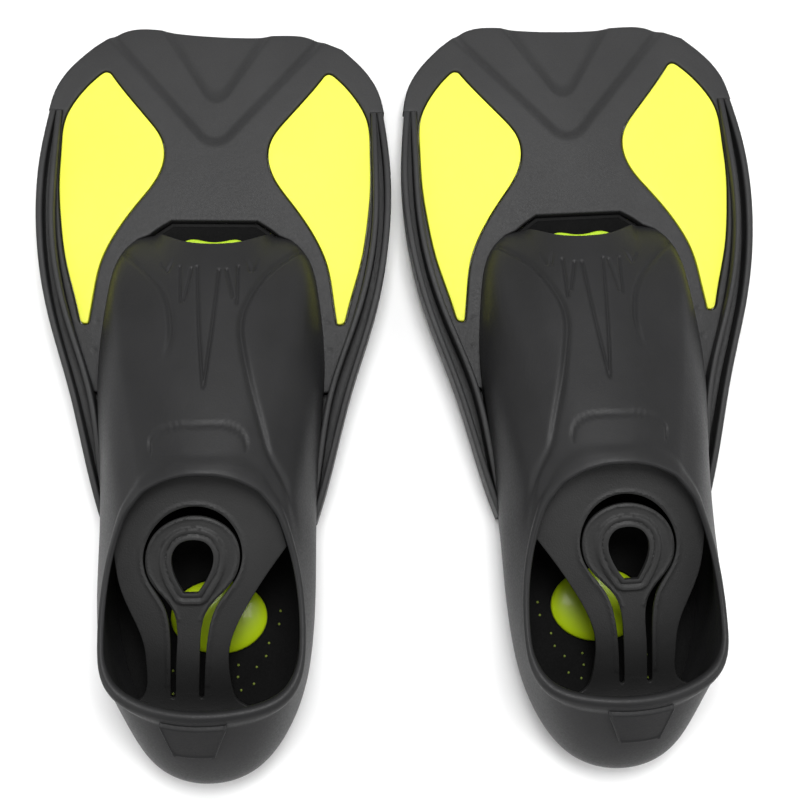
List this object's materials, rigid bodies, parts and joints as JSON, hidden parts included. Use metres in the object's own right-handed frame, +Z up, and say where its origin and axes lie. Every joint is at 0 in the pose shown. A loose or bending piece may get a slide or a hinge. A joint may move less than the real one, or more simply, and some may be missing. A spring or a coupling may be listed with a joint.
{
  "type": "swim fins",
  "caption": "Pair of short full-foot swim fins with bright blade windows, double side rails, a soft open-toe foot pocket and a removable shaping insert with a hang loop.",
  "frame": {"origin": "middle of the pair's bounding box, on the plane that the soles rest on", "axes": "+Y from the heels to the blade tips, +X to the wearer's right, +Z up out of the foot openings"},
  "size_m": [0.3836, 0.4127, 0.077],
  "materials": {
    "pocket_rubber": "satin black",
    "tab_rubber": "satin black",
    "sole_rubber": "matte black, treaded",
    "footbed_rubber": "matte black",
    "frame_rubber": "matte charcoal, fine texture",
    "lime_plastic": "bright lime, smooth semi-gloss",
    "insert_plastic": "black, fine grain"
  },
  "bodies": {
    "left_foot": {"left_foot_pocket": "pocket_rubber", "left_heel_tab": "tab_rubber", "left_outsole": "sole_rubber", "left_footbed": "footbed_rubber", "left_sole_core": "lime_plastic", "left_arch_frame": "frame_rubber", "left_inner_rail": "frame_rubber", "left_outer_rail": "frame_rubber"},
    "left_blade": {"left_blade_core": "lime_plastic", "left_blade_frame": "frame_rubber", "left_inner_blade_rail": "frame_rubber", "left_outer_blade_rail": "frame_rubber"},
    "left_insert": {"left_heel_insert": "insert_plastic"},
    "left_loop": {"left_hang_loop": "insert_plastic"},
    "right_foot": {"right_foot_pocket": "pocket_rubber", "right_heel_tab": "tab_rubber", "right_outsole": "sole_rubber", "right_footbed": "footbed_rubber", "right_sole_core": "lime_plastic", "right_arch_frame": "frame_rubber", "right_inner_rail": "frame_rubber", "right_outer_rail": "frame_rubber"},
    "right_blade": {"right_blade_core": "lime_plastic", "right_blade_frame": "frame_rubber", "right_inner_blade_rail": "frame_rubber", "right_outer_blade_rail": "frame_rubber"},
    "right_insert": {"right_heel_insert": "insert_plastic"},
    "right_loop": {"right_hang_loop": "insert_plastic"}
  },
  "joints": [
    {"name": "fins_apart", "type": "slide", "parent": "left_foot", "child": "right_foot", "axis": [1, 0, 0], "range_m": [0, 0.25]},
    {"name": "left_blade_flex", "type": "hinge", "parent": "left_foot", "child": "left_blade", "pos_m": [-0.09751, 0.10478, 0.01357], "axis": [1, 0, 0], "range_deg": [-15, 15], "stiffness_Nm_per_rad": 12},
    {"name": "left_insert_lift", "type": "slide", "parent": "left_foot", "child": "left_insert", "axis": [0, 0, 1], "range_m": [0, 0.12]},
    {"name": "left_loop_fold", "type": "hinge", "parent": "left_insert", "child": "left_loop", "pos_m": [-0.10711, -0.16062, 0.016], "axis": [1, 0, 0], "range_deg": [0, 60]},
    {"name": "right_blade_flex", "type": "hinge", "parent": "right_foot", "child": "right_blade", "pos_m": [0.09708, 0.11052, 0.01357], "axis": [0.9985, 0.0546, 0], "range_deg": [-15, 15], "stiffness_Nm_per_rad": 12},
    {"name": "right_insert_lift", "type": "slide", "parent": "right_foot", "child": "right_insert", "axis": [0, 0, 1], "range_m": [0, 0.12]},
    {"name": "right_loop_fold", "type": "hinge", "parent": "right_insert", "child": "right_loop", "pos_m": [0.12115, -0.15396, 0.016], "axis": [0.9985, 0.0546, 0], "range_deg": [0, 60]}
  ]
}
